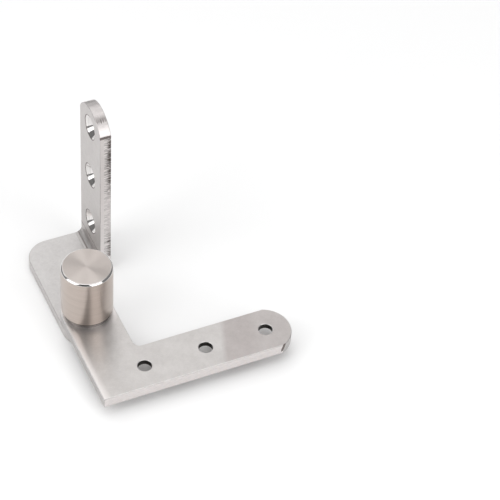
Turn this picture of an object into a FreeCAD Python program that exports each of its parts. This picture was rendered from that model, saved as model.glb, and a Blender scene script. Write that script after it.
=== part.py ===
import FreeCAD, Part

import math
import os
from types import SimpleNamespace

import Sketcher

# Pivot hinge for a heavy door, in millimetres.
# A bent bracket screws to the frame and carries a riveted pin. The L-shaped
# door plate turns on that pin below a closed barrel, which drops into a hole
# drilled in the door and rests on a steel ball in the tip of the pin.
# Origin: on the pivot axis, at the underside of the bracket. +Z runs along the
# axis towards the barrel, +X along the door plate's long arm, and the leaf of
# the bracket stands on the +X side of its arm, which points to +Y.

SIZES = {
    "plate_thickness": (5.0, "sheet that both plates are cut from"),
    "plate_gap": (0.4, "running gap between the two plates"),
    "pivot_arm_width": (22.5, "width of both arms at the pin"),
    "long_arm_width": (22.0, "width of the arm under the door"),
    "corner_reach": (48.5, "pivot axis to the front edge of the long arm"),
    "first_hole": (11.0, "pivot axis to the first door screw, along X"),
    "hole_pitch": (27.5, "screw to screw, on both plates"),
    "inner_radius": (2.5, "inside corner of the door plate"),
    "bracket_reach": (50.5, "pivot axis to the far edge of the bracket"),
    "far_corner_radius": (10.5, "corner of the bracket opposite its leaf"),
    "edge_step": (2.25, "edge of the arm to the start of the bend"),
    "bend_radius": (3.0, "inside of the bend"),
    "leaf_width": (23.0, "upright leaf"),
    "leaf_height": (86.5, "underside of the bracket to the tip of the leaf"),
    "tip_screw": (10.0, "tip of the leaf to its highest screw"),
    "arm_end_radius": (11.7, "end of the long arm, just over half its width"),
    "leaf_end_radius": (12.2, "end of the leaf, just over half its width"),
    "relief_radius": (1.2, "notch beside the bend"),
    "screw_hole": (6.0, "diameter"),
    "screw_head": (11.0, "diameter of the countersink"),
    "head_angle": (90.0, "countersink, in degrees"),
    "pin_diameter": (12.0, "journal that the door plate turns on"),
    "spigot_diameter": (10.0, "pin through the bracket"),
    "rivet_flare": (1.0, "45 degree flare of the riveted tail"),
    "running_clearance": (0.05, "pin in bush, and ball to its seats"),
    "neck_diameter": (20.0, "collar of the bush, between door plate and barrel"),
    "bush_spigot": (16.0, "diameter of the bush in the door plate and in the barrel"),
    "neck_gap": (2.0, "door plate to the mouth of the barrel"),
    "barrel_diameter": (22.0, "fits the hole drilled in the door"),
    "barrel_length": (25.0, "mouth to closed end"),
    "barrel_edge": (1.2, "rounded edge of the closed end"),
    "cap_thickness": (4.0, "closed end of the barrel"),
    "chamber_diameter": (14.0, "barrel above the bush"),
    "bush_depth": (14.0, "bush in the barrel"),
    "ball_diameter": (8.0, "thrust ball"),
    "seat_mouth": (9.0, "diameter of the cone that seats the ball"),
    "seat_angle": (120.0, "that cone, in degrees"),
}
SCREWS = 3


class Length:
    """A size in millimetres that also knows the expression which binds it."""

    def __init__(self, mm, text):
        self.mm, self.text = mm, text

    def __add__(self, other):
        other = length(other)
        return Length(self.mm + other.mm, f"({self.text} + {other.text})")

    def __sub__(self, other):
        other = length(other)
        return Length(self.mm - other.mm, f"({self.text} - {other.text})")

    def __mul__(self, other):
        other = length(other)
        return Length(self.mm * other.mm, f"{self.text} * {other.text}")

    def __truediv__(self, other):
        other = length(other)
        return Length(self.mm / other.mm, f"{self.text} / ({other.text})")


def length(size):
    return size if isinstance(size, Length) else Length(size, str(size))


def other_leg(long_side, leg):
    """The other leg of a right-angled triangle."""
    return Length(math.sqrt(long_side.mm ** 2 - leg.mm ** 2),
                  f"sqrt(({long_side.text}) ^ 2 - ({leg.text}) ^ 2)")


def sine(angle):
    return Length(math.sin(math.radians(angle.mm)), f"sin({angle.text})")


def tangent(angle):
    return Length(math.tan(math.radians(angle.mm)), f"tan({angle.text})")


doc = FreeCAD.newDocument("pivot_hinge")
sheet = doc.addObject("Spreadsheet::Sheet", "sizes")
for row, (alias, (mm, note)) in enumerate(SIZES.items(), start=1):
    sheet.set(f"A{row}", alias)
    sheet.set(f"B{row}", str(mm))
    sheet.set(f"C{row}", note)
    sheet.setAlias(f"B{row}", alias)
doc.recompute()
s = SimpleNamespace(**{alias: Length(mm, "sizes." + alias) for alias, (mm, _) in SIZES.items()})

# Heights above the underside of the bracket: up through the plates to the
# barrel, then from the closed end of the barrel down to the pin's seat.
door_bottom = s.plate_thickness + s.plate_gap
door_top = door_bottom + s.plate_thickness
mouth = door_top + s.neck_gap
bush_top = mouth + s.bush_depth
chamber_top = mouth + s.barrel_length - s.cap_thickness
ball_reach = s.ball_diameter / 2 + s.running_clearance
ball_middle = chamber_top - ball_reach
seat_tip = ball_middle - ball_reach / sine(s.seat_angle / 2)
pin_top = seat_tip + s.seat_mouth / 2 / tangent(s.seat_angle / 2)

# Places in plan, and radii.
arm_edge = s.pivot_arm_width / 2
arm_left = arm_edge * -1
front_edge = s.corner_reach * -1
back_edge = s.long_arm_width - s.corner_reach
arm_middle = s.long_arm_width / 2 - s.corner_reach
last_hole = s.first_hole + s.hole_pitch * (SCREWS - 1)
arm_round = last_hole + s.long_arm_width / 2 - s.arm_end_radius
arm_kink = arm_round + other_leg(s.arm_end_radius, s.long_arm_width / 2)
bend_start = arm_edge + s.edge_step
leaf_face = bend_start + s.bend_radius
leaf_back = leaf_face + s.plate_thickness
bend_top = s.plate_thickness + s.bend_radius
leaf_near = s.bracket_reach - s.leaf_width
leaf_middle = s.bracket_reach - s.leaf_width / 2
leaf_round = s.leaf_height - s.leaf_end_radius
leaf_kink = leaf_round + other_leg(s.leaf_end_radius, s.leaf_width / 2)
top_screw = s.leaf_height - s.tip_screw
bush_bore = s.pin_diameter / 2 + s.running_clearance


def new_body(label, height=0):
    body = doc.addObject("PartDesign::Body", label)
    body.Label = label
    body.setExpression("Placement.Base.z", length(height).text)
    return body


def new_sketch(body, plane, name, shift=None):
    """A sketch on one of the body's own planes, moved along its normal."""
    sketch = body.newObject("Sketcher::SketchObject", f"{body.Label}_{name}")
    support = next(f for f in body.Origin.OriginFeatures if f.Role == plane)
    sketch.AttachmentSupport = (support, [""])
    sketch.MapMode = "FlatFace"
    if shift:
        sketch.setExpression("AttachmentOffset.Base.z", shift.text)
    return sketch


def place(sketch, edge, end, across, up):
    """Ties one point of a sketch to its distances from the sketch's axes."""
    for kind, axis, size in (("DistanceX", -2, across), ("DistanceY", -1, up)):
        if isinstance(size, Length):
            row = sketch.addConstraint(Sketcher.Constraint(kind, -1, 1, edge, end, size.mm))
            sketch.setExpression(f"Constraints[{row}]", size.text)
        else:
            sketch.addConstraint(Sketcher.Constraint("PointOnObject", edge, end, axis))


def outline(sketch, corners):
    """A closed outline of corners, each tied to its place. A line leaves the
    corner (x, y). An arc leaves (x, y, centre, turn) smoothly after the last
    edge, or (x, y, centre, turn, radius) at an angle to it. A 0 for x or y
    puts the corner on that axis."""
    points = [FreeCAD.Vector(length(c[0]).mm, length(c[1]).mm, 0) for c in corners]
    starts, ends = [], []
    for i, corner in enumerate(corners):
        here, there = points[i], points[(i + 1) % len(points)]
        if len(corner) == 2:
            edge = sketch.addGeometry(Part.LineSegment(here, there), False)
            first, last = 1, 2
        else:
            centre = FreeCAD.Vector(length(corner[2][0]).mm, length(corner[2][1]).mm, 0)
            left = corner[3] == "left"
            sweep = [math.atan2(p.y - centre.y, p.x - centre.x) for p in (here, there)]
            low, high = sweep if left else sweep[::-1]
            circle = Part.Circle(centre, FreeCAD.Vector(0, 0, 1), (here - centre).Length)
            edge = sketch.addGeometry(Part.ArcOfCircle(circle, low, high), False)
            first, last = (1, 2) if left else (2, 1)
        starts.append((edge, first))
        ends.append((edge, last))
    for i, corner in enumerate(corners):
        meeting = "Tangent" if len(corner) == 4 else "Coincident"
        sketch.addConstraint(Sketcher.Constraint(meeting, *ends[i - 1], *starts[i]))
        if len(corner) == 5:
            row = sketch.addConstraint(Sketcher.Constraint("Radius", starts[i][0], corner[4].mm))
            sketch.setExpression(f"Constraints[{row}]", corner[4].text)
    for start, corner in zip(starts, corners):
        place(sketch, *start, corner[0], corner[1])


def ring(sketch, across, up, diameter):
    """A circle tied to its place and diameter."""
    centre = FreeCAD.Vector(length(across).mm, length(up).mm, 0)
    edge = sketch.addGeometry(Part.Circle(centre, FreeCAD.Vector(0, 0, 1), diameter.mm / 2), False)
    row = sketch.addConstraint(Sketcher.Constraint("Diameter", edge, diameter.mm))
    sketch.setExpression(f"Constraints[{row}]", diameter.text)
    if isinstance(across, Length) or isinstance(up, Length):
        place(sketch, edge, 3, across, up)
    else:
        sketch.addConstraint(Sketcher.Constraint("Coincident", edge, 3, -1, 1))


def add(body, kind, sketch, **settings):
    """A feature made from a sketch, its lengths bound to the sheet."""
    item = body.newObject(f"PartDesign::{kind}", f"{sketch.Name}_{kind.lower()}")
    item.Profile = sketch
    for key, setting in settings.items():
        if isinstance(setting, Length):
            item.setExpression(key, setting.text)
        else:
            setattr(item, key, setting)
    doc.recompute()
    return item


def spin(body, kind, sketch):
    return add(body, kind, sketch, ReferenceAxis=(sketch, ["V_Axis"]), Angle=360)


def turned(label, height, corners):
    """A turned piece: half of its section, spun about the pivot axis."""
    body = new_body(label, height)
    section = new_sketch(body, "XZ_Plane", "section")
    outline(section, corners)
    spin(body, "Revolution", section)
    return body


def screw_row(body, sketch, along, across, axis):
    """A countersunk hole at the sketch's own face, repeated along axis."""
    ring(sketch, along, across, s.screw_hole)
    doc.recompute()
    hole = add(body, "Hole", sketch, Reversed=True, ThreadType="None", DepthType="ThroughAll",
               HoleCutType="Countersink", HoleCutCustomValues=True, Diameter=s.screw_hole,
               HoleCutDiameter=s.screw_head, HoleCutCountersinkAngle=s.head_angle)
    row = body.newObject("PartDesign::LinearPattern", f"{body.Label}_screw_row")
    row.Originals = [hole]
    row.Direction = (sketch, [axis])
    row.Occurrences = SCREWS
    row.setExpression("Length", (s.hole_pitch * (SCREWS - 1)).text)
    body.Tip = row
    doc.recompute()


# The frame bracket: a flat arm round the pin, and a strip of the same sheet
# bent up along the arm's edge into the leaf. A notch relieves the bend's end.
bracket = new_body("frame_bracket")
arm = new_sketch(bracket, "XY_Plane", "arm")
outline(arm, [
    (arm_left, 0, (0, 0), "left"),
    (arm_edge, 0),
    (arm_edge, s.bracket_reach),
    (arm_left + s.far_corner_radius, s.bracket_reach,
     (arm_left + s.far_corner_radius, s.bracket_reach - s.far_corner_radius), "left"),
    (arm_left, s.bracket_reach - s.far_corner_radius),
])
add(bracket, "Pad", arm, Length=s.plate_thickness)
bend = new_sketch(bracket, "XZ_Plane", "bend", s.bracket_reach * -1)
outline(bend, [
    (0, 0),
    (bend_start, 0, (bend_start, bend_top), "left"),
    (leaf_back, bend_top),
    (leaf_face, bend_top, (bend_start, bend_top), "right", s.bend_radius),
    (bend_start, s.plate_thickness),
    (0, s.plate_thickness),
])
add(bracket, "Pad", bend, Length=s.leaf_width)
leaf = new_sketch(bracket, "YZ_Plane", "leaf", leaf_face)
outline(leaf, [
    (leaf_near, bend_top),
    (s.bracket_reach, bend_top),
    (s.bracket_reach, leaf_kink, (leaf_middle, leaf_round), "left", s.leaf_end_radius),
    (leaf_near, leaf_kink),
])
add(bracket, "Pad", leaf, Length=s.plate_thickness)
relief = new_sketch(bracket, "XY_Plane", "relief")
ring(relief, arm_edge, leaf_near - s.relief_radius / 2, s.relief_radius * 2)
add(bracket, "Pocket", relief, Type="ThroughAll", Reversed=True)
tail_seat = new_sketch(bracket, "XZ_Plane", "tail_seat")
outline(tail_seat, [
    (0, 0),
    (s.spigot_diameter / 2 + s.rivet_flare, 0),
    (s.spigot_diameter / 2, s.rivet_flare),
    (s.spigot_diameter / 2, s.plate_thickness),
    (0, s.plate_thickness),
])
spin(bracket, "Groove", tail_seat)
leaf_screws = new_sketch(bracket, "YZ_Plane", "screws", leaf_face)
screw_row(bracket, leaf_screws, leaf_middle, top_screw - s.hole_pitch * (SCREWS - 1), "V_Axis")

# The pin: a tail riveted into the bracket and ground flush, a journal for the
# bush, and a cone in its tip that seats the ball.
pin = turned("pivot_pin", 0, [
    (0, 0),
    (s.spigot_diameter / 2 + s.rivet_flare, 0),
    (s.spigot_diameter / 2, s.rivet_flare),
    (s.spigot_diameter / 2, s.plate_thickness),
    (s.pin_diameter / 2, s.plate_thickness),
    (s.pin_diameter / 2, pin_top),
    (s.seat_mouth / 2, pin_top),
    (0, seat_tip),
])

ball = doc.addObject("Part::Sphere", "thrust_ball")
ball.Label = "thrust_ball"
ball.setExpression("Radius", (s.ball_diameter / 2).text)
ball.setExpression("Placement.Base.z", ball_middle.text)

# The door plate: an L with a round end at the pin, a sharp outer corner and a
# round end on the long arm. The screws enter from its underside.
plate = new_body("door_plate", door_bottom)
elbow = new_sketch(plate, "XY_Plane", "elbow")
outline(elbow, [
    (arm_edge, 0, (0, 0), "left"),
    (arm_left, 0),
    (arm_left, front_edge),
    (arm_kink, front_edge, (arm_round, arm_middle), "left", s.arm_end_radius),
    (arm_kink, back_edge),
    (arm_edge + s.inner_radius, back_edge,
     (arm_edge + s.inner_radius, back_edge + s.inner_radius), "right"),
    (arm_edge, back_edge + s.inner_radius),
])
add(plate, "Pad", elbow, Length=s.plate_thickness)
bush_seat = new_sketch(plate, "XY_Plane", "bush_seat")
ring(bush_seat, 0, 0, s.bush_spigot)
add(plate, "Pocket", bush_seat, Type="ThroughAll", Reversed=True)
door_screws = new_sketch(plate, "XY_Plane", "screws")
screw_row(plate, door_screws, s.first_hole, arm_middle, "H_Axis")

# The bush: pressed into the door plate from above and into the barrel from
# below, as far as its collar, which shows between them as a neck.
bush_height = bush_top - door_bottom
bush = turned("neck_bush", door_bottom, [
    (bush_bore, 0),
    (s.bush_spigot / 2, 0),
    (s.bush_spigot / 2, s.plate_thickness),
    (s.neck_diameter / 2, s.plate_thickness),
    (s.neck_diameter / 2, s.plate_thickness + s.neck_gap),
    (s.bush_spigot / 2, s.plate_thickness + s.neck_gap),
    (s.bush_spigot / 2, bush_height),
    (bush_bore, bush_height),
])

# The barrel: a turned cup, open below, with a narrower chamber above the bush
# whose flat end rests on the ball.
barrel = turned("pivot_barrel", mouth, [
    (s.bush_spigot / 2, 0),
    (s.barrel_diameter / 2, 0),
    (s.barrel_diameter / 2, s.barrel_length - s.barrel_edge,
     (s.barrel_diameter / 2 - s.barrel_edge, s.barrel_length - s.barrel_edge), "left"),
    (s.barrel_diameter / 2 - s.barrel_edge, s.barrel_length),
    (0, s.barrel_length),
    (0, s.barrel_length - s.cap_thickness),
    (s.chamber_diameter / 2, s.barrel_length - s.cap_thickness),
    (s.chamber_diameter / 2, s.bush_depth),
    (s.bush_spigot / 2, s.bush_depth),
])
doc.recompute()

pieces = [bracket, pin, ball, plate, bush, barrel]
for item in doc.Objects:
    if {"Invalid", "Error"} & set(item.State):
        raise RuntimeError(f"{item.Label} did not build: {item.State}")
for piece in pieces:
    shape = piece.Shape
    if shape.isNull() or not shape.isValid() or len(shape.Solids) != 1:
        raise RuntimeError(f"{piece.Label} is not one sound solid")

os.makedirs("parts", exist_ok=True)
for piece in pieces:
    piece.Shape.exportStep(f"parts/{piece.Label}.step")
    print(piece.Label, "volume", round(piece.Shape.Volume, 2))
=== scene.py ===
import math

import bpy
from mathutils import Matrix, Vector, noise


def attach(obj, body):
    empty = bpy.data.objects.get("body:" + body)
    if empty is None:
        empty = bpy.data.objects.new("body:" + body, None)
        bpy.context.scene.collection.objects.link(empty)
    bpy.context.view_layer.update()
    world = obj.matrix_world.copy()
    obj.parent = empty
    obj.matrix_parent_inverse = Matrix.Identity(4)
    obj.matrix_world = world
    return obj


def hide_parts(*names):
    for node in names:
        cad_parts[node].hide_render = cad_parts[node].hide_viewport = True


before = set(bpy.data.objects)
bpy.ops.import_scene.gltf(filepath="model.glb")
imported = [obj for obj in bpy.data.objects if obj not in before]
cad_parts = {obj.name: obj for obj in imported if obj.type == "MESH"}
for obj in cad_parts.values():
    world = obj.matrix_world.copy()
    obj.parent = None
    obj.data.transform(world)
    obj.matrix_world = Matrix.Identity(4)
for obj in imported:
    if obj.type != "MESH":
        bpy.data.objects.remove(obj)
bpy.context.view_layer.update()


# The frame bracket is screwed to the door frame. It is 5 mm stainless sheet: a flat
# arm round the pin, and a leaf bent up from its edge beside a drilled notch. The
# leaf's near edge shows how it was sheared, smooth at first and then torn.

mm = 0.001
sheet = 5.0                    # thickness of both plates
arm_half = 11.25               # half the width of both arms at the pin
bracket_reach = 50.5           # pivot axis to the far edge
far_corner = 10.5              # corner opposite the leaf
bend_start, bend_radius = 13.5, 3.0
leaf_width, leaf_top, leaf_end_radius = 23.0, 86.5, 13.2
leaf_near = bracket_reach - leaf_width
leaf_middle = bracket_reach - leaf_width / 2
leaf_in = bend_start + bend_radius
leaf_out = leaf_in + sheet
bend_top = sheet + bend_radius
leaf_screws = (21.5, 49.0, 76.5)
notch = 1.2                    # radius of the notch, two thirds of a circle in the arm's edge
slack = 0.01                   # allowed when a corner is found by its place


def deselect():
    """Leaves nothing selected."""
    bpy.ops.object.select_all(action="DESELECT")


def first_corner(name, x, y, z):
    """A new piece that is only its first corner, in edit mode."""
    deselect()
    bpy.ops.mesh.primitive_plane_add(size=mm)
    piece = bpy.context.object
    piece.name = piece.data.name = name
    bpy.ops.object.mode_set(mode="EDIT")
    bpy.ops.mesh.merge(type="CENTER")
    bpy.ops.transform.translate(value=(x * mm, y * mm, z * mm))
    return piece


def run(x=0.0, y=0.0, z=0.0):
    """Extrudes what is selected, by millimetres."""
    bpy.ops.mesh.extrude_region_move(TRANSFORM_OT_translate={"value": (x * mm, y * mm, z * mm)})


def swing(degrees, centre, axis=(0, 0, 1), steps=32):
    """Sweeps what is selected round an axis, anticlockwise seen from its tip."""
    bpy.ops.mesh.spin(steps=steps, angle=-math.radians(degrees),
                      center=Vector(centre) * mm, axis=axis)


def join_doubles():
    """Joins corners that lie in one place, and leaves everything selected."""
    bpy.ops.mesh.select_all(action="SELECT")
    bpy.ops.mesh.remove_doubles(threshold=0.002 * mm)
    bpy.ops.mesh.select_all(action="SELECT")


def leave_edit():
    """Turns every face outwards and leaves edit mode."""
    bpy.ops.mesh.select_all(action="SELECT")
    bpy.ops.mesh.normals_make_consistent(inside=False)
    bpy.ops.mesh.select_all(action="DESELECT")
    bpy.ops.object.mode_set(mode="OBJECT")


def finish_with(piece, kind, **settings):
    """Adds a modifier and applies it."""
    modifier = piece.modifiers.new(kind.lower(), kind)
    for key, setting in settings.items():
        setattr(modifier, key, setting)
    deselect()
    piece.select_set(True)
    bpy.context.view_layer.objects.active = piece
    bpy.ops.object.modifier_apply(modifier=modifier.name)


def end_arc(half_width, radius):
    """Degrees that a round end turns through, and its rise to the kink."""
    degrees = 2 * math.degrees(math.asin(half_width / radius))
    return degrees, math.sqrt(radius ** 2 - half_width ** 2)


def turned(name, corners, steps=72):
    """A solid turned about Z from (radius, height) corners, left in edit mode."""
    piece = first_corner(name, corners[0][0], 0, corners[0][1])
    for (r0, z0), (r1, z1) in zip(corners, corners[1:]):
        run(x=r1 - r0, z=z1 - z0)
    if corners[0][0]:
        join_doubles()
    bpy.ops.mesh.select_all(action="SELECT")
    swing(360, (0, 0, 0), steps=steps)
    join_doubles()
    return piece


def cut(piece, cutter):
    """Cuts a hole. Its walls keep the cutter's finish."""
    finish_with(piece, "BOOLEAN", object=cutter, operation="DIFFERENCE", solver="EXACT",
                material_mode="TRANSFER")
    bpy.data.objects.remove(cutter)


def give_finish(piece, face, finish):
    """Puts one of the piece's finishes on a face."""
    face.material_index = piece.data.materials.find(finish.name)


def break_edges(piece, width, finish):
    """Rounds every sharp edge a little."""
    piece.data.materials.append(finish)
    finish_with(piece, "BEVEL", width=width * mm, segments=4, limit_method="ANGLE",
                angle_limit=math.radians(28), material=len(piece.data.materials) - 1)


def smooth(piece):
    """Shades the rounds smoothly and keeps the flats flat."""
    deselect()
    piece.select_set(True)
    bpy.context.view_layer.objects.active = piece
    bpy.ops.object.shade_smooth_by_angle(angle=math.radians(40))
    finish_with(piece, "WEIGHTED_NORMAL", mode="FACE_AREA", weight=50, keep_sharp=True)


def node(tree, kind, *inputs, **settings):
    """A shader node: its inputs in order (None leaves one alone), then its settings."""
    made = tree.nodes.new("ShaderNode" + kind)
    for key, setting in settings.items():
        setattr(made, key, setting)
    for socket, given in zip(made.inputs, inputs):
        if isinstance(given, bpy.types.NodeSocket):
            tree.links.new(given, socket)
        elif given is not None:
            socket.default_value = given
    return made


def new_finish(name, roughness, anisotropic=0.0):
    """A bare metal: its material, tree, shader and Object coordinates."""
    material = bpy.data.materials.new(name)
    material.use_nodes = True
    tree = material.node_tree
    shader = tree.nodes["Principled BSDF"]
    shader.inputs["Metallic"].default_value = 1.0
    shader.inputs["Roughness"].default_value = roughness
    shader.inputs["Anisotropic"].default_value = anisotropic
    return material, tree, shader, node(tree, "TexCoord").outputs["Object"]


def math_node(tree, operation, *values):
    """The result of a sum."""
    return node(tree, "Math", *values, operation=operation).outputs[0]


def stretch(tree, value, low, high, to_low, to_high):
    """A value between low and high, moved to another range."""
    return node(tree, "MapRange", value, low, high, to_low, to_high).outputs["Result"]


def measure(tree, place, direction):
    """How far a place lies along a direction."""
    return node(tree, "VectorMath", place, direction, operation="DOT_PRODUCT").outputs["Value"]


def tint(tree, share, under, over, blend="MIX"):
    """One colour laid over another by a share from 0 to 1."""
    mix = node(tree, "Mix", share, data_type="RGBA", blend_type=blend)
    for socket, colour in ((mix.inputs["A"], under), (mix.inputs["B"], over)):
        if isinstance(colour, bpy.types.NodeSocket):
            tree.links.new(colour, socket)
        else:
            socket.default_value = (*colour, 1)
    return next(output for output in mix.outputs if output.type == "RGBA")


def grain(tree, vector, per_metre, detail=3.0):
    """Noise with so many cells to the metre along each axis."""
    spread = node(tree, "VectorMath", vector, per_metre, operation="MULTIPLY").outputs[0]
    fourth_axis, scale, roughness = None, 1.0, 0.6
    return node(tree, "TexNoise", spread, fourth_axis, scale, detail, roughness).outputs["Fac"]


def relief(tree, shader, height, depth):
    """Raises fine marks by so many millimetres."""
    bump = node(tree, "Bump")
    bump.inputs["Distance"].default_value = depth * mm
    tree.links.new(height, bump.inputs["Height"])
    tree.links.new(bump.outputs["Normal"], shader.inputs["Normal"])


def shine_across(tree, shader, direction):
    """Draws highlights out along a direction of the piece, which turns with it."""
    turned_with = node(tree, "VectorTransform", direction, vector_type="VECTOR",
                       convert_from="OBJECT", convert_to="WORLD")
    tree.links.new(turned_with.outputs[0], shader.inputs["Tangent"])


def brushed_sheet(name, along, dark, light, patch_grain=90, rough=(0.38, 0.46), painted_light=None):
    """Stainless sheet brushed in the direction along; y lies across the brushing."""
    material, tree, shader, place = new_finish(name, 0.42, 0.65)
    length = measure(tree, place, along)
    width = node(tree, "SeparateXYZ", place).outputs["Y"]
    laid_flat = node(tree, "CombineXYZ", length, width).outputs[0]
    fine = grain(tree, laid_flat, (900, 6500, 1))
    specks = grain(tree, place, (420, 420, 420), 5)
    clouds = grain(tree, place, (90, 90, 90), 2)
    patches = grain(tree, place, (patch_grain,) * 3, 2)
    lines = math_node(tree, "MULTIPLY_ADD", fine, 0.45, math_node(tree, "MULTIPLY", specks, 0.3))
    lines = math_node(tree, "MULTIPLY_ADD", clouds, 0.35, lines)
    colour = tint(tree, stretch(tree, lines, 0.42, 0.68, 0, 1), dark, light)
    # Painted light and shade, where given, laid over the brushed colour.
    if painted_light:
        colour = painted_light(tree, place, patches, colour)
    tree.links.new(colour, shader.inputs["Base Color"])
    tree.links.new(stretch(tree, patches, 0.3, 0.7, *rough), shader.inputs["Roughness"])
    relief(tree, shader, lines, 0.008)
    shine_across(tree, shader, (0, 1, 0))
    return material


def ground_edge(name, dark, light):
    """A sheared edge dressed on a belt: fine lines that follow it."""
    material, tree, shader, place = new_finish(name, 0.38)
    fine = grain(tree, place, (500, 500, 5000))
    cloud = grain(tree, place, (180, 180, 180))
    tree.links.new(tint(tree, stretch(tree, fine, 0.3, 0.7, 0, 1), dark, light),
                   shader.inputs["Base Color"])
    tree.links.new(stretch(tree, cloud, 0.3, 0.7, 0.32, 0.46), shader.inputs["Roughness"])
    relief(tree, shader, fine, 0.02)
    return material


def tool_cut(name, roughness, dark, light, per_metre):
    """Metal cut by a hard tool, with the tool's fine marks."""
    material, tree, shader, place = new_finish(name, roughness)
    marks = grain(tree, place, per_metre)
    tree.links.new(tint(tree, stretch(tree, marks, 0.3, 0.7, 0, 1), dark, light),
                   shader.inputs["Base Color"])
    relief(tree, shader, marks, 0.01)
    return material


plate_edge = ground_edge("plate_edge", (0.64, 0.605, 0.595), (0.80, 0.755, 0.745))
# A darker copy of the edge break: painted shade that dims highlights along broken edges.
shaded_edge_break = tool_cut("shaded_edge_break", 0.34, (0.46, 0.44, 0.43), (0.58, 0.56, 0.55), (300, 300, 300))
# Near black walls for holes: painted shade inside them.
shaded_hole_wall = tool_cut("shaded_hole_wall", 0.35, (0.03, 0.028, 0.026), (0.09, 0.085, 0.08),
                        (60, 60, 4000))
# Dark metal for the nicks and the leaf holes' lips: painted shade in the nicks and on the lips.
nick_and_lip_shade = tool_cut("nick_and_lip_shade", 0.4, (0.12, 0.10, 0.095), (0.26, 0.23, 0.22), (900, 900, 900))
# The arm's top and the upright leaf are lit and shaded copies of one brushed sheet: painted light
# on the arm, painted shade on the leaf.
shaded_leaf_face = brushed_sheet("shaded_leaf_face", (1, 0, 1), (0.53, 0.505, 0.495), (0.63, 0.605, 0.595))
lit_bracket_face = brushed_sheet("lit_bracket_face", (1, 0, 0), (0.61, 0.59, 0.58), (0.75, 0.73, 0.72))
# A darker copy of the leaf's sheet for the bend: painted shade in the crease.
shaded_bend = brushed_sheet("shaded_bend", (1, 0, 1), (0.47, 0.45, 0.44), (0.56, 0.54, 0.53))
leaf_cone = tool_cut("leaf_cone", 0.1, (0.62, 0.60, 0.59), (0.80, 0.78, 0.77), (5000, 60, 60))
# A darker copy of the ground edge for the bracket's faces towards -X: painted shade.
shaded_bracket_side = ground_edge("shaded_bracket_side", (0.53, 0.51, 0.50), (0.645, 0.625, 0.615))
dark_bend_line = tool_cut("dark_bend_line", 0.35, (0.22, 0.19, 0.18), (0.42, 0.39, 0.38), (900, 300, 900))

# The smooth part of the near edge, with the blade's lines, darker upwards.
leaf_edge, tree, shader, place = new_finish("leaf_edge", 0.4)
blade_lines = grain(tree, place, (300, 500, 2600))
climb = stretch(tree, node(tree, "SeparateXYZ", place).outputs["Z"], 40 * mm, 66 * mm, 0, 0.3)
lines_darker_upwards = math_node(tree, "MULTIPLY_ADD", blade_lines, 0.4, climb)
tree.links.new(tint(tree, lines_darker_upwards, (0.84, 0.80, 0.79), (0.52, 0.49, 0.48)),
               shader.inputs["Base Color"])
relief(tree, shader, blade_lines, 0.015)

# The dressed round end, with a streaked dark band just below its top.
round_end, tree, shader, place = new_finish("round_end", 0.38)
belt_lines = grain(tree, place, (500, 500, 5000))
streaks = grain(tree, place, (2200, 120, 120), 2)
height = node(tree, "SeparateXYZ", place).outputs["Z"]
ragged = math_node(tree, "MULTIPLY_ADD", streaks, 2 * mm, height)
band = math_node(tree, "MULTIPLY", stretch(tree, ragged, 85.2 * mm, 85.6 * mm, 0, 1),
                 stretch(tree, ragged, 86.2 * mm, 87.0 * mm, 1, 0))
band = math_node(tree, "MULTIPLY", band, stretch(tree, streaks, 0.40, 0.58, 0.4, 1))
dressed = tint(tree, stretch(tree, belt_lines, 0.3, 0.7, 0, 1),
               (0.62, 0.585, 0.575), (0.76, 0.72, 0.71))
tree.links.new(tint(tree, band, dressed, (0.22, 0.20, 0.195)), shader.inputs["Base Color"])
relief(tree, shader, belt_lines, 0.02)

# The torn part of the near edge: bright ridges with dark ticks between them,
# painted as the shade in the hollows of the tear, darker towards the outer face and
# the top, and calmer next to the smooth part and halfway up.
torn_edge, tree, shader, place = new_finish("torn_edge", 0.38)
where = node(tree, "SeparateXYZ", place)
depth_in, height = where.outputs["X"], where.outputs["Z"]
ticks = math_node(tree, "SUBTRACT", grain(tree, place, (150, 150, 2300), 2),
                  stretch(tree, depth_in, 19.2 * mm, 20.7 * mm, 0, 0.12))
ticks = math_node(tree, "SUBTRACT", ticks, stretch(tree, height, 52 * mm, 64 * mm, 0, 0.05))
ticks = stretch(tree, ticks, 0.34, 0.54, 0, 1)
halfway = math_node(tree, "MULTIPLY", stretch(tree, height, 18 * mm, 25 * mm, 0, 1),
                    stretch(tree, height, 44 * mm, 54 * mm, 1, 0))
beside_smooth = stretch(tree, depth_in, 18.3 * mm, 20.5 * mm, 0.65, 0)
calm = math_node(tree, "MAXIMUM", math_node(tree, "MULTIPLY", halfway, 0.68), beside_smooth)
tree.links.new(tint(tree, math_node(tree, "MAXIMUM", ticks, calm),
                    (0.10, 0.085, 0.08), (0.84, 0.80, 0.79)),
               shader.inputs["Base Color"])
relief(tree, shader, ticks, 0.04)


def select(piece, parts, wanted):
    """In edit mode, selects only the wanted vertices, edges or polygons."""
    bpy.ops.mesh.select_mode(type={"vertices": "VERT", "edges": "EDGE", "polygons": "FACE"}[parts])
    bpy.ops.mesh.select_all(action="DESELECT")
    bpy.ops.object.mode_set(mode="OBJECT")
    for part in getattr(piece.data, parts):
        part.select = wanted(part)
    bpy.ops.object.mode_set(mode="EDIT")


def ends(piece, edge):
    """The two corners of an edge, in millimetres."""
    return [piece.data.vertices[corner].co / mm for corner in edge.vertices]


hole_radius = 3.0
sink_radius = 5.35             # of the countersink, inside its broken edge
lip_depth, sink_depth, wall_depth = 0.15, 2.5, 4.75


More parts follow.
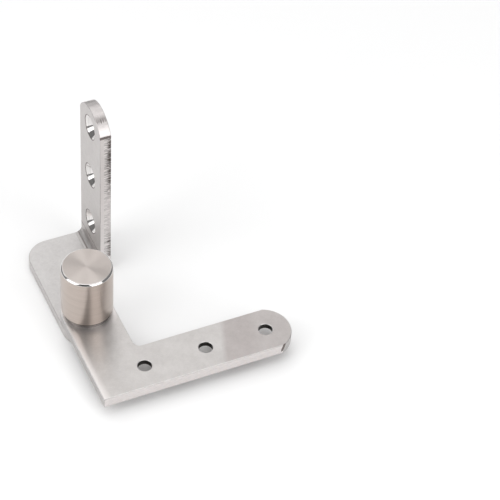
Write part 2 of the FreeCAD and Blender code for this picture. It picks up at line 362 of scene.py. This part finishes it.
def screw_hole(x, y, z, sink, lips, tilt=0):
    """A tool for a 6 mm hole with an 11 mm countersink, whose mouth is at x, y, z."""
    tool = turned("screw_hole", [
        (0, -1), (9.25, -1), (5.75, 0), (sink_radius, lip_depth), (hole_radius, sink_depth),
        (hole_radius, wall_depth), (3.08, 4.92), (3.25, 5), (5.4, 6), (0, 6)])
    leave_edit()
    for finish in (sink, shaded_hole_wall, lips):
        tool.data.materials.append(finish)
    for face in tool.data.polygons:
        depth = face.center.z / mm
        if lip_depth < depth < sink_depth:
            give_finish(tool, face, sink)
        elif sink_depth < depth < wall_depth:
            give_finish(tool, face, shaded_hole_wall)
        else:
            give_finish(tool, face, lips)
    tool.data.transform(Matrix.Translation(Vector((x, y, z)) * mm)
                        @ Matrix.Rotation(math.radians(tilt), 4, "Y"))
    return tool


def groove(place, radius, lean, finish):
    """A long round tool for the shallow marks that other tools leave."""
    deselect()
    bpy.ops.mesh.primitive_cylinder_add(
        vertices=24, radius=radius * mm, depth=24 * mm,
        location=Vector(place) * mm, rotation=[math.radians(angle) for angle in lean])
    tool = bpy.context.object
    bpy.ops.object.transform_apply(location=True, rotation=True)
    tool.data.materials.append(finish)
    return tool


leaf_turn, leaf_rise = end_arc(leaf_width / 2, leaf_end_radius)
round_z = leaf_top - leaf_end_radius
kink_z = round_z + leaf_rise

bracket = first_corner("bent_frame_bracket", -arm_half, 0, 0)
run(y=bracket_reach - far_corner)
swing(-90, (far_corner - arm_half, bracket_reach - far_corner, 0), steps=20)
run(x=bend_start + arm_half - far_corner)
run(y=-leaf_width)
run(x=arm_half + notch * math.cos(math.radians(30)) - bend_start)
swing(240, (arm_half, leaf_near - notch / 2, 0), steps=24)
run(y=notch * 1.5 - leaf_near)
swing(-180, (0, 0, 0), steps=64)
join_doubles()
bpy.ops.mesh.edge_face_add()
run(z=sheet)
select(bracket, "polygons", lambda face: face.center.x > (bend_start - slack) * mm
       and abs(face.normal.x) > 0.9)
swing(-90, (bend_start, 0, bend_top), axis=(0, 1, 0), steps=18)
run(z=kink_z - bend_top)
bpy.ops.mesh.delete(type="ONLY_FACE")
select(bracket, "edges", lambda edge: all(
    corner.z > kink_z - slack and corner.y > bracket_reach - 0.1 for corner in ends(bracket, edge)))
swing(leaf_turn, (0, leaf_middle, round_z), axis=(1, 0, 0), steps=40)
join_doubles()
for side in (leaf_in, leaf_out):
    select(bracket, "vertices", lambda corner: corner.co.z > (kink_z - slack) * mm
           and abs(corner.co.x - side * mm) < slack * mm)
    bpy.ops.mesh.edge_face_add()
bpy.ops.mesh.select_all(action="SELECT")
bpy.ops.mesh.dissolve_limited(angle_limit=math.radians(0.5))
leave_edit()

for finish in (shaded_leaf_face, plate_edge, lit_bracket_face, shaded_bracket_side, shaded_bend, leaf_edge,
               round_end):
    bracket.data.materials.append(finish)
for face in bracket.data.polygons:
    x, y, z = face.center / mm
    level = abs(face.normal.z) > 0.9999
    upright = abs(face.normal.x) > 0.9999 and x > 0
    on_an_edge = (abs(face.normal.y) > 0.1 or z > kink_z
                  or (z < sheet and abs(face.normal.z) < 0.1))
    # Painted light and shade: the arm's top takes the lit copy, the leaf the shaded one.
    if level or upright:
        give_finish(bracket, face, lit_bracket_face if z < sheet + slack else shaded_leaf_face)
    # Painted shade in the bend.
    elif not on_an_edge:
        give_finish(bracket, face, shaded_bend)
    # Painted shade on the side towards -X.
    elif face.normal.x < -0.5:
        give_finish(bracket, face, shaded_bracket_side)
    elif y < leaf_near + 0.1 and x > bend_start:
        give_finish(bracket, face, leaf_edge)
    elif z > kink_z:
        give_finish(bracket, face, round_end)
    else:
        give_finish(bracket, face, plate_edge)
# The bracket's broken edges take the darker copy: painted shade.
break_edges(bracket, 0.3, shaded_edge_break)

# The pin's tail fills a small flare here when it is riveted over.
tail_radius, flare_radius, flare_depth = 5, 6, 1
tail_hole = turned("tail_hole", [
    (0, -1), (flare_radius, -1), (flare_radius, 0), (tail_radius, flare_depth),
    (tail_radius, 6), (0, 6)])
leave_edit()
tail_hole.data.materials.append(shaded_hole_wall)
cut(bracket, tail_hole)
# The leaf holes' lips are painted dark as shade.
for z in leaf_screws:
    cut(bracket, screw_hole(leaf_in, leaf_middle, z, leaf_cone, nick_and_lip_shade, tilt=90))

# A shallow nick where the leaf's round end begins, painted dark as shade.
nick_radius, nick_off = 2.03, 1.8          # its middle stands so far off the metal
leaf_nick = (leaf_in, leaf_near - nick_off, kink_z)
cut(bracket, groove(leaf_nick, nick_radius, (0, 90, 0), nick_and_lip_shade))

# Two fine dark lines are cut, one inside the bend and one just above it.
line_radius, line_off = 0.35, 0.23
line_angle, line_z = math.radians(28), 11.5
line_reach = bend_radius - line_off
in_the_bend = (bend_start + line_reach * math.sin(line_angle), leaf_middle,
               bend_top - line_reach * math.cos(line_angle))
above_the_bend = (leaf_in - line_off, leaf_middle, line_z)
for line_place in (in_the_bend, above_the_bend):
    cut(bracket, groove(line_place, line_radius, (90, 0, 0), dark_bend_line))


def torn_strip(low, high, inner, outer):
    """A tool whose face is torn ridges, for the zone where the shears broke through."""
    least_depth, more_depth = 0.03, 0.11
    least_pitch, more_pitch = 0.25, 0.25
    deepest_z, fade_length = 64, 8
    wander_out, wander_up = 0.05, 0.1
    noise.seed_set(5)
    strip = first_corner("torn_strip", inner, leaf_near - 1, low)
    run(y=1)
    z = low
    while z < high:
        strength = 0.6 + 0.4 * math.cos((z - deepest_z) / fade_length)
        depth = (least_depth + more_depth * noise.random()) * strength
        pitch = least_pitch + more_pitch * noise.random()
        run(y=depth, z=pitch)
        run(y=-depth, z=pitch)
        z += pitch * 2
    run(y=-1)
    bpy.ops.mesh.select_all(action="SELECT")
    bpy.ops.mesh.edge_face_add()
    for _ in range(4):
        run(x=(outer - inner) / 4)
    leave_edit()
    for corner in strip.data.vertices:
        if corner.co.y > (leaf_near - 0.5) * mm:
            spot = corner.co / mm
            corner.co.y += wander_out * mm * noise.noise(spot * 1.3)
            corner.co.z += wander_up * mm * noise.noise(Vector((spot.x, 9, spot.z)) * 0.6)
    strip.data.materials.append(torn_edge)
    return strip


torn_low, torn_high = 9, kink_z - 1.5
smooth_width = 1.75            # of the near edge, before the shears broke through
cut(bracket, torn_strip(torn_low, torn_high, leaf_in + smooth_width, leaf_out + 1))
smooth(bracket)
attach(bracket, "frame_side")
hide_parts("frame_bracket")


# The pin is turned steel, riveted into the bracket. The door turns on it and rests
# on a ball of bearing steel, which sits in the cone of its tip.

pin_steel = tool_cut("pin_tail", 0.32, (0.54, 0.52, 0.50), (0.64, 0.62, 0.60), (900, 900, 900))
ball_steel = tool_cut("ball_steel", 0.06, (0.70, 0.70, 0.70), (0.76, 0.76, 0.76), (300, 300, 300))


def dress(name, finish):
    """Gives one of the solids its finish."""
    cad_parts[name].data.materials.clear()
    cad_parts[name].data.materials.append(finish)


dress("pivot_pin", pin_steel)
dress("thrust_ball", ball_steel)


# The door plate lies under the door and turns on the pin. It is an L cut from the
# same sheet and brushed along its long arm. Its top rolls over at the cropped left
# edge, and its three screw holes are countersunk from below.

arm_end_radius = 11.7          # round end of the long arm
door_low = 5.4                 # underside of the door plate
door_front, door_back = -48.5, -26.5
door_middle = (door_front + door_back) / 2
door_screws = (11.0, 38.5, 66.0)
corner_radius = 3.2            # inside corner of the L
bush_radius = 8.0


def round_the_pin(tree, place):
    """A place seen from above, and its distance from the pin's axis."""
    plan = node(tree, "VectorMath", place, (1, 1, 0), operation="MULTIPLY").outputs[0]
    return plan, node(tree, "VectorMath", plan, operation="LENGTH").outputs["Value"]


def door_plate_painted_light(tree, place, patches, colour):
    """Painted shade over the far end of the arm, and painted light along the left edge
    and in a ring round the barrel."""
    # Painted shade: the far end of the arm is darkened, as a darker reflection there.
    reach = measure(tree, place, (1, -0.35, 0))
    far_reach = math_node(tree, "MULTIPLY_ADD", patches, 6 * mm, reach)
    far_shade = math_node(tree, "MULTIPLY", stretch(tree, reach, 58.5 * mm, 61.2 * mm, 0, 0.8),
                     stretch(tree, far_reach, 74 * mm, 80 * mm, 1, 0.7))
    far_shaded = tint(tree, far_shade, colour, (0.76, 0.72, 0.72), "MULTIPLY")
    # Painted highlight: the top is lightened towards the left edge.
    left = stretch(tree, node(tree, "SeparateXYZ", place).outputs["X"],
                   -10.6 * mm, -7.8 * mm, 0.85, 0)
    # Painted light: a lighter ring round the barrel lifts the shade at its base.
    plan, from_pin = round_the_pin(tree, place)
    ring_light = stretch(tree, from_pin, 11.2 * mm, 13.5 * mm, 0.85, 0)
    return tint(tree, math_node(tree, "MAXIMUM", left, ring_light), far_shaded, (0.86, 0.82, 0.805))


plate_face = brushed_sheet("plate_face", (1, 0, 0), (0.58, 0.555, 0.54), (0.69, 0.665, 0.65),
                           patch_grain=70, rough=(0.34, 0.40), painted_light=door_plate_painted_light)
# A darker copy of the ground edge for faces towards -X and the round end's sides: painted shade.
shaded_cropped_edge = ground_edge("shaded_cropped_edge", (0.42, 0.405, 0.395), (0.54, 0.52, 0.51))
# The edge break is lighter than the face: a painted highlight along the broken edges.
lit_edge_break = tool_cut("lit_edge_break", 0.3, (0.66, 0.64, 0.63), (0.80, 0.78, 0.77), (300, 300, 300))
countersink = tool_cut("countersink", 0.1, (0.62, 0.60, 0.59), (0.80, 0.78, 0.77), (60, 60, 5000))

# The top falls away towards the cropped left edge in two slopes. Each starts at a
# corner of the round end at the pin, given as an angle round the pin.
roll_steps = [(-arm_half * math.cos(math.radians(corner_angle)) * mm, math.radians(slope))
              for corner_angle, slope in ((45, 3), (30.9375, 5))]
arm_turn, arm_rise = end_arc((door_back - door_front) / 2, arm_end_radius)
round_x = door_screws[-1] + (door_back - door_front) / 2 - arm_end_radius
arm_kink = round_x + arm_rise

door_plate = first_corner("ground_door_plate", -arm_half, 0, door_low)
run(y=door_front)
run(x=arm_half + arm_kink)
swing(arm_turn, (round_x, door_middle, door_low), steps=40)
run(x=arm_half + corner_radius - round_x - arm_rise)
swing(-90, (arm_half + corner_radius, door_back + corner_radius, door_low), steps=12)
run(y=-door_back - corner_radius)
swing(180, (0, 0, door_low), steps=64)
join_doubles()
bpy.ops.mesh.edge_face_add()
run(z=sheet)
for roll_start, _ in roll_steps:
    bpy.ops.mesh.select_all(action="SELECT")
    bpy.ops.mesh.bisect(plane_co=(roll_start, 0, 0), plane_no=(1, 0, 0), threshold=0.01 * mm)
leave_edit()
for roll_start, slope in roll_steps:
    for corner in door_plate.data.vertices:
        inside = roll_start - corner.co.x
        if inside > 0 and corner.co.z > (door_low + sheet / 2) * mm:
            corner.co.z -= inside * math.tan(slope)

for finish in (plate_face, plate_edge, shaded_cropped_edge):
    door_plate.data.materials.append(finish)
for face in door_plate.data.polygons:
    if abs(face.normal.z) > 0.5:
        give_finish(door_plate, face, plate_face)
    # Painted shade on the side towards -X and on the round end's sides.
    elif face.normal.x < -0.5 or face.center.x > arm_kink * mm:
        give_finish(door_plate, face, shaded_cropped_edge)
    else:
        give_finish(door_plate, face, plate_edge)
break_edges(door_plate, 0.35, lit_edge_break)
# Broken edges that face the front take the darker copy: painted shade.
door_plate.data.materials.append(shaded_edge_break)
broken = door_plate.data.materials.find(lit_edge_break.name)
for face in door_plate.data.polygons:
    if face.material_index == broken and face.normal.y < -0.2:
        give_finish(door_plate, face, shaded_edge_break)

bush_hole = turned("bush_hole", [(0, 4), (bush_radius, 4), (bush_radius, 12), (0, 12)])
leave_edit()
bush_hole.data.materials.append(shaded_hole_wall)
cut(door_plate, bush_hole)
for x in door_screws:
    cut(door_plate, screw_hole(x, door_middle, door_low, countersink, lit_edge_break))

# A slanting nick where the front edge meets the round end, painted dark as shade.
arm_nick = (arm_kink + 1.0, door_front - 0.5, door_low + sheet)
arm_nick_radius, arm_nick_lean = 1.2, (-10, 25, 0)
cut(door_plate, groove(arm_nick, arm_nick_radius, arm_nick_lean, nick_and_lip_shade))
smooth(door_plate)
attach(door_plate, "door_side")
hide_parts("door_plate")


# The bush is turned steel, pressed into the door plate from above and into the
# barrel from below. Its collar shows between them as a neck, painted dark as the
# shade in the gap under the barrel.

shaded_bush = tool_cut("shaded_bush_finish", 0.35, (0.17, 0.155, 0.15), (0.28, 0.26, 0.25), (60, 60, 5000))
dress("neck_bush", shaded_bush)


# The barrel is a cup turned from stainless bar, closed at the top, that drops into
# a hole in the door. The tool left fine rings on its wall and closed end. Its top
# edge is polished, and a small step is turned into the wall at its mouth. The step
# is painted dark as the shade under the barrel, and the mouth's underside is painted
# light to lift the shade reflected in the plate below.

barrel_radius, barrel_mouth, barrel_top = 11.0, 12.4, 37.4
barrel_edge = 0.85
mouth_depth, mouth_height = 0.3, 0.6   # step turned into the wall at the mouth
mouth_slope = 0.15                     # rise of the step's upper side
chamber_radius, chamber_low, chamber_top = 7.0, 26.4, 33.4
closed_end = 30.0                      # what has its middle above this is the closed end

barrel_wall, tree, shader, place = new_finish("barrel_wall", 0.28, 0.55)
rings = grain(tree, place, (40, 40, 7000))
broad_rings = grain(tree, place, (30, 30, 900))
turned_marks = math_node(tree, "MULTIPLY_ADD", rings, 0.6,
                         math_node(tree, "MULTIPLY", broad_rings, 0.4))
tree.links.new(tint(tree, stretch(tree, turned_marks, 0.3, 0.7, 0, 1),
                    (0.45, 0.39, 0.348), (0.545, 0.475, 0.433)),
               shader.inputs["Base Color"])
relief(tree, shader, turned_marks, 0.008)
shine_across(tree, shader, (0, 0, 1))

barrel_cap, tree, shader, place = new_finish("barrel_cap", 0.42, 0.85)
plan, from_pin = round_the_pin(tree, place)
spiral = grain(tree, node(tree, "CombineXYZ", from_pin).outputs[0], (7000, 1, 1))
tree.links.new(tint(tree, stretch(tree, spiral, 0.3, 0.7, 0, 1),
                    (0.61, 0.555, 0.52), (0.75, 0.69, 0.655)),
               shader.inputs["Base Color"])
relief(tree, shader, spiral, 0.008)
shine_across(tree, shader, node(tree, "VectorMath", plan, operation="NORMALIZE").outputs[0])

# Polished metal for the top edge, also laid on the mouth's underside as painted light.
polished_rim_and_lit_underside = tool_cut("polished_rim_and_lit_underside", 0.07, (0.74, 0.72, 0.71), (0.82, 0.80, 0.79),
                        (40, 40, 3000))
mouth_shade_ring = tool_cut("mouth_shade_ring", 0.4, (0.08, 0.07, 0.065), (0.20, 0.18, 0.17), (40, 40, 3000))

step_top = barrel_mouth + mouth_height
barrel = turned("turned_barrel", [
    (bush_radius, barrel_mouth), (barrel_radius - mouth_depth, barrel_mouth),
    (barrel_radius - mouth_depth, step_top), (barrel_radius, step_top + mouth_slope),
    (barrel_radius, barrel_top), (0, barrel_top), (0, chamber_top),
    (chamber_radius, chamber_top), (chamber_radius, chamber_low), (bush_radius, chamber_low),
    (bush_radius, barrel_mouth)], steps=128)
leave_edit()
for finish in (barrel_wall, barrel_cap, polished_rim_and_lit_underside, mouth_shade_ring):
    barrel.data.materials.append(finish)

bpy.context.view_layer.objects.active = barrel
bpy.ops.object.mode_set(mode="EDIT")
select(barrel, "edges", lambda edge: all(
    abs(math.hypot(*corner.xy) - barrel_radius) < 0.02 and abs(corner.z - barrel_top) < 0.02
    for corner in ends(barrel, edge)))
bpy.ops.mesh.bevel(offset=barrel_edge * mm, segments=8, profile=0.36, affect="EDGES")
leave_edit()
for face in barrel.data.polygons:
    height = face.center.z / mm
    level = abs(face.normal.z)
    # The mouth's step is painted dark as shade under the barrel; its underside takes the light
    # polish as painted light.
    if height < step_top + 0.1:
        give_finish(barrel, face, mouth_shade_ring if level < 0.9 else polished_rim_and_lit_underside)
    elif height < closed_end or level < 0.05:
        give_finish(barrel, face, barrel_wall)
    else:
        give_finish(barrel, face, barrel_cap if level > 0.99 else polished_rim_and_lit_underside)
smooth(barrel)
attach(barrel, "door_side")
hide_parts("pivot_barrel")


# A plain pale table top in a studio. Behind the hinge are a bright wall and a bright
# ceiling, and behind the camera it is dark. A softbox stands on either side of the
# camera, and a wide sheet of light hangs overhead.

deselect()
bpy.ops.mesh.primitive_plane_add(size=6.0, location=(0, 0, -0.00005))
table_top = bpy.context.object
table_top.name = "table_top"
paint = bpy.data.materials.new("pale_paint")
paint.use_nodes = True
paint_shader = paint.node_tree.nodes["Principled BSDF"]
paint_shader.inputs["Base Color"].default_value = (0.95, 0.95, 0.95, 1)
paint_shader.inputs["Roughness"].default_value = 0.8
paint_shader.inputs["Specular IOR Level"].default_value = 0.2
table_top.data.materials.append(paint)

azimuth, elevation, roll = map(math.radians, (27.279, 45.613, -4.303))
ahead = Vector((math.sin(azimuth) * math.cos(elevation), math.cos(azimuth) * math.cos(elevation),
                -math.sin(elevation)))
level = Vector((math.cos(azimuth), -math.sin(azimuth), 0))
drop = ahead.cross(level)
right = math.cos(roll) * level + math.sin(roll) * drop
down = -math.sin(roll) * level + math.cos(roll) * drop

room = bpy.data.worlds.new("studio")
bpy.context.scene.world = room
room.use_nodes = True
tree = room.node_tree


def ramp(value, low, high, to_low, to_high):
    """A value between low and high, eased to another range."""
    return node(tree, "MapRange", value, low, high, to_low, to_high,
                interpolation_type="SMOOTHSTEP").outputs["Result"]


outlook = node(tree, "TexCoord").outputs["Generated"]
towards_camera = measure(tree, outlook, -ahead)
outward = node(tree, "SeparateXYZ", outlook)
rearward, upward = outward.outputs["Y"], outward.outputs["Z"]
rear_wall = math_node(tree, "MULTIPLY", ramp(rearward, 0.30, 0.60, 0, 1),
                      ramp(upward, 0.38, 0.55, 0, 1.15))
rear_wall = math_node(tree, "MAXIMUM", rear_wall, ramp(rearward, 0.86, 0.96, 0, 0.8))
ceiling = ramp(upward, 0.80, 0.88, 0, 1.3)
dim_room = 0.22
walls = math_node(tree, "MAXIMUM", math_node(tree, "MAXIMUM", rear_wall, dim_room), ceiling)
dark_behind = ramp(towards_camera, math.cos(math.radians(21)), math.cos(math.radians(14)),
                   1.0, 0.2)
backdrop = tree.nodes["Background"]
backdrop.inputs["Color"].default_value = (1, 1, 1, 1)
tree.links.new(math_node(tree, "MULTIPLY", walls, dark_behind), backdrop.inputs["Strength"])

hinge_middle = Vector((0.02, -0.01, 0.03))


def softbox(name, place, width, height, radiance):
    """A rectangular light that faces the hinge and doesn't show itself."""
    lamp = bpy.data.lights.new(name, "AREA")
    lamp.shape = "RECTANGLE"
    lamp.size, lamp.size_y = width, height
    lamp.energy = radiance * math.pi * width * height
    box = bpy.data.objects.new(name, lamp)
    bpy.context.scene.collection.objects.link(box)
    box.location = place
    box.rotation_mode = "QUATERNION"
    box.rotation_quaternion = (hinge_middle - place).to_track_quat("-Z", "Y")
    box.visible_camera = False


box_height = math.radians(33)
box_distance = 1.2
for name, aside in (("left_softbox", -57), ("right_softbox", 46)):
    toward = Vector((-ahead.x, -ahead.y, 0)).normalized()
    toward = Matrix.Rotation(math.radians(aside), 3, "Z") @ toward
    toward = toward * math.cos(box_height) + Vector((0, 0, math.sin(box_height)))
    softbox(name, toward * box_distance, 0.90, 0.95, 1.9)

softbox("overhead", Vector((0, 0, 1.5)), 2.6, 2.6, 0.36)
bpy.data.objects["overhead"].visible_glossy = False

picture_width, focal_length = 500, 1993.41     # both in dots of the picture
to_right, to_down, back = 69.465, -32.854, 851.63
lens = bpy.data.cameras.new("camera")
lens.sensor_width = 36
lens.lens = focal_length * 36 / picture_width
lens.clip_start, lens.clip_end = 0.01, 20
camera = bpy.data.objects.new("camera", lens)
bpy.context.scene.collection.objects.link(camera)
camera.location = (to_right * right + to_down * down - back * ahead) * mm
camera.rotation_euler = Matrix((right, -down, -ahead)).transposed().to_euler()
bpy.context.scene.camera = camera
bpy.context.scene.view_settings.view_transform = "Standard"
